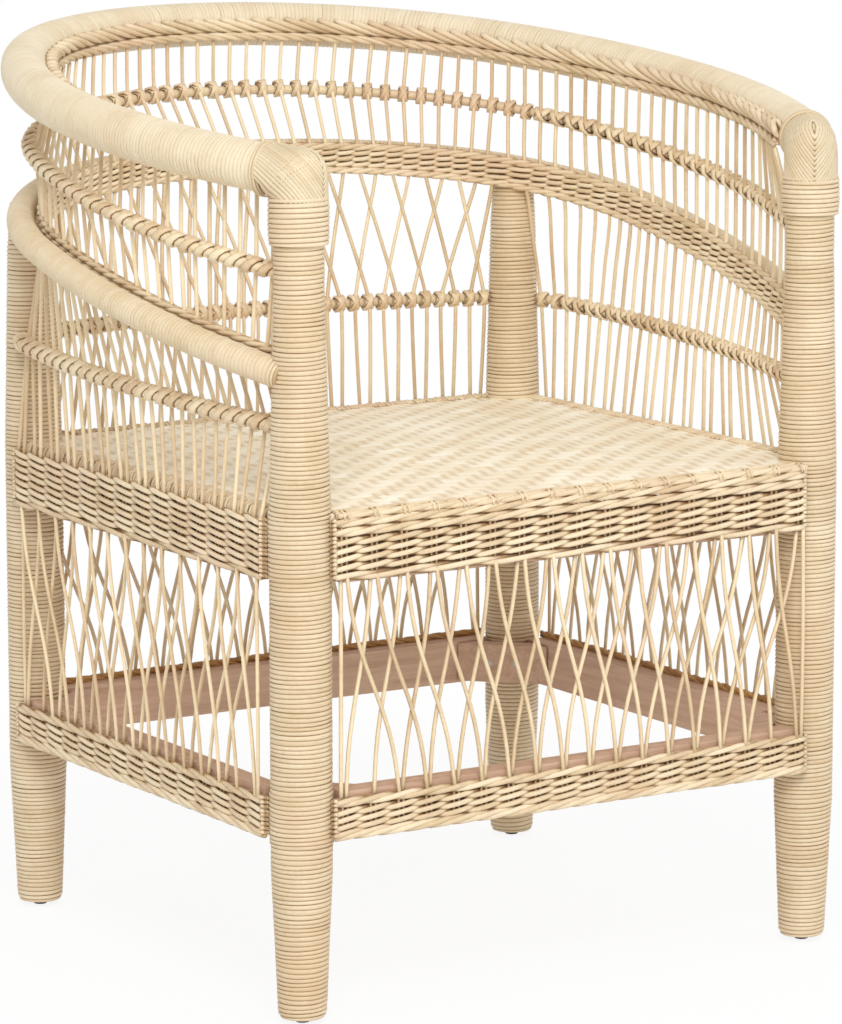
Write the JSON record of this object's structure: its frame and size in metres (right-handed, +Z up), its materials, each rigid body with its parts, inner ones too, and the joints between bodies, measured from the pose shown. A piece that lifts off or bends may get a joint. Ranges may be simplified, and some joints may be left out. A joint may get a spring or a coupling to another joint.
{
  "type": "tub armchair",
  "caption": "Free-standing wicker tub armchair: cane-wrapped legs, bent top and arm rails, woven arm band, open stakes, woven seat with aprons, skirts of crossing rods and low stretchers.",
  "frame": {"origin": "on the floor, at the middle of the chair's footprint box: midway between the woven bands' front faces and the top rail's back, on the plane of symmetry", "axes": "+Z up, the chair faces -Y, +X is the right-hand side of a viewer who looks along +Y"},
  "size_m": [0.6766, 0.6829, 0.8002],
  "materials": {
    "pole": "bare rattan pole",
    "cane_wrap": "satin flat cane",
    "wicker": "satin round cane",
    "rattan_rod": "satin round cane",
    "seat_cane": "satin split cane",
    "board": "bare planed board",
    "glide": "matt black",
    "screw": "dull steel"
  },
  "bodies": {
    "root": {"arm_band": "wicker", "arm_rail_pole": "pole", "arm_rail_wrap": "cane_wrap", "back_apron": "wicker", "back_left_corner_brace": "board", "back_left_leg_pole": "pole", "back_left_leg_wrap": "cane_wrap", "back_lower_band": "wicker", "back_right_corner_brace": "board", "back_right_leg_pole": "pole", "back_right_leg_wrap": "cane_wrap", "back_seat_binding": "wicker", "back_seat_rail": "board", "back_skirt": "rattan_rod", "back_stretcher": "board", "brace_screws": "screw", "elbow_dowels": "pole", "front_apron": "wicker", "front_left_corner_brace": "board", "front_left_leg_pole": "pole", "front_left_leg_wrap": "cane_wrap", "front_lower_band": "wicker", "front_right_corner_brace": "board", "front_right_leg_pole": "pole", "front_right_leg_wrap": "cane_wrap", "front_seat_rail": "board", "front_skirt": "rattan_rod", "front_stretcher": "board", "left_apron": "wicker", "left_elbow_lashing": "cane_wrap", "left_leg_collar": "cane_wrap", "left_lower_band": "wicker", "left_seat_binding": "wicker", "left_seat_rail": "board", "left_skirt": "rattan_rod", "left_stretcher": "board", "leg_glides": "glide", "lower_knots": "wicker", "lower_rod": "rattan_rod", "lower_stakes": "rattan_rod", "middle_stakes": "rattan_rod", "right_apron": "wicker", "right_elbow_lashing": "cane_wrap", "right_leg_collar": "cane_wrap", "right_lower_band": "wicker", "right_seat_binding": "wicker", "right_seat_rail": "board", "right_skirt": "rattan_rod", "right_stretcher": "board", "seat_front_roll": "wicker", "seat_slats": "board", "seat_weave": "seat_cane", "slat_screws": "screw", "top_braid": "wicker", "top_rail_pole": "pole", "top_rail_wrap": "cane_wrap", "top_rope": "wicker", "upper_knots": "wicker", "upper_rod": "rattan_rod", "upper_stakes": "rattan_rod"}
  },
  "joints": []
}
